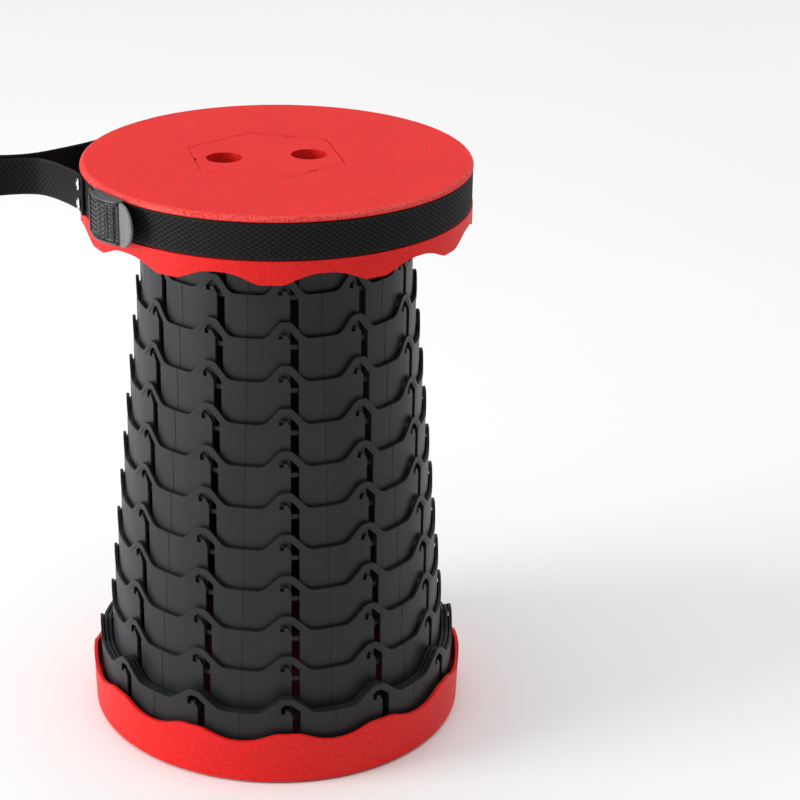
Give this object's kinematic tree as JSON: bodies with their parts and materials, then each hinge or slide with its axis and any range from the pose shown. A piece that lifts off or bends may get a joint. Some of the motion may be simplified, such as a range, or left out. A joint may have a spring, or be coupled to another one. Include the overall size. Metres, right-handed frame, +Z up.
{
  "type": "camp stool",
  "caption": "Round telescopic camp stool: a base tray and seat lid joined by nesting slotted rings, with a webbing belt, carrying loop and slide buckle round the seat.",
  "frame": {"origin": "on the floor under the stool's axis, at the centre of the foot pads' resting plane", "axes": "+Z up along the rings' sliding axis, -Y towards the front, +X to the right seen from the front; the carrying loop stands out to -X"},
  "size_m": [0.3275, 0.2524, 0.3855],
  "materials": {
    "red_plastic": "fine-grained moulded polypropylene, red",
    "tier_plastic": "satin moulded plastic, charcoal",
    "webbing": "woven nylon webbing, black",
    "foot_rubber": "soft rubber, black",
    "rivet_metal": "polished nickel-plated steel",
    "buckle_plastic": "glossy dark grey acetal"
  },
  "bodies": {
    "base": {"base_shell": "red_plastic", "foot_pads": "foot_rubber", "tier_01": "tier_plastic"},
    "ring_02": {"tier_02": "tier_plastic"},
    "ring_03": {"tier_03": "tier_plastic"},
    "ring_04": {"tier_04": "tier_plastic"},
    "ring_05": {"tier_05": "tier_plastic"},
    "ring_06": {"tier_06": "tier_plastic"},
    "ring_07": {"tier_07": "tier_plastic"},
    "ring_08": {"tier_08": "tier_plastic"},
    "ring_09": {"tier_09": "tier_plastic"},
    "ring_10": {"tier_10": "tier_plastic"},
    "ring_11": {"tier_11": "tier_plastic"},
    "ring_12": {"tier_12": "tier_plastic"},
    "ring_13": {"tier_13": "tier_plastic"},
    "ring_14": {"tier_14": "tier_plastic"},
    "seat": {"seat_lid": "red_plastic", "hex_plate": "red_plastic", "belt": "webbing", "handle_strap": "webbing", "rivets_front": "rivet_metal", "rivets_rear": "rivet_metal"},
    "buckle": {"buckle_frame": "buckle_plastic", "buckle_pin": "rivet_metal"},
    "lever": {"buckle_lever": "buckle_plastic"}
  },
  "joints": [
    {"name": "ring_02_slide", "type": "slide", "parent": "base", "child": "ring_02", "axis": [0, 0, 1], "range_m": [0, 0.02795]},
    {"name": "ring_03_slide", "type": "slide", "parent": "ring_02", "child": "ring_03", "axis": [0, 0, 1], "range_m": [0, 0.02795]},
    {"name": "ring_04_slide", "type": "slide", "parent": "ring_03", "child": "ring_04", "axis": [0, 0, 1], "range_m": [-0.02795, 0]},
    {"name": "ring_05_slide", "type": "slide", "parent": "ring_04", "child": "ring_05", "axis": [0, 0, 1], "range_m": [-0.02795, 0]},
    {"name": "ring_06_slide", "type": "slide", "parent": "ring_05", "child": "ring_06", "axis": [0, 0, 1], "range_m": [-0.02795, 0]},
    {"name": "ring_07_slide", "type": "slide", "parent": "ring_06", "child": "ring_07", "axis": [0, 0, 1], "range_m": [-0.02795, 0]},
    {"name": "ring_08_slide", "type": "slide", "parent": "ring_07", "child": "ring_08", "axis": [0, 0, 1], "range_m": [-0.02795, 0]},
    {"name": "ring_09_slide", "type": "slide", "parent": "ring_08", "child": "ring_09", "axis": [0, 0, 1], "range_m": [-0.02795, 0]},
    {"name": "ring_10_slide", "type": "slide", "parent": "ring_09", "child": "ring_10", "axis": [0, 0, 1], "range_m": [-0.02795, 0]},
    {"name": "ring_11_slide", "type": "slide", "parent": "ring_10", "child": "ring_11", "axis": [0, 0, 1], "range_m": [-0.02795, 0]},
    {"name": "ring_12_slide", "type": "slide", "parent": "ring_11", "child": "ring_12", "axis": [0, 0, 1], "range_m": [-0.02795, 0]},
    {"name": "ring_13_slide", "type": "slide", "parent": "ring_12", "child": "ring_13", "axis": [0, 0, 1], "range_m": [-0.02795, 0]},
    {"name": "ring_14_slide", "type": "slide", "parent": "ring_13", "child": "ring_14", "axis": [0, 0, 1], "range_m": [-0.03195, 0]},
    {"name": "seat_twist", "type": "hinge", "parent": "ring_14", "child": "seat", "pos_m": [0, 0, 0.3], "axis": [0, 0, 1], "range_deg": [-10, 0]},
    {"name": "buckle_slide", "type": "hinge", "parent": "seat", "child": "buckle", "pos_m": [0, 0, 0.37], "axis": [0, 0, 1], "range_deg": [-5, 5]},
    {"name": "buckle_lever_turn", "type": "hinge", "parent": "buckle", "child": "lever", "pos_m": [-0.11146, -0.0663, 0.369], "axis": [0, 0, 1], "range_deg": [-70, 0]}
  ]
}
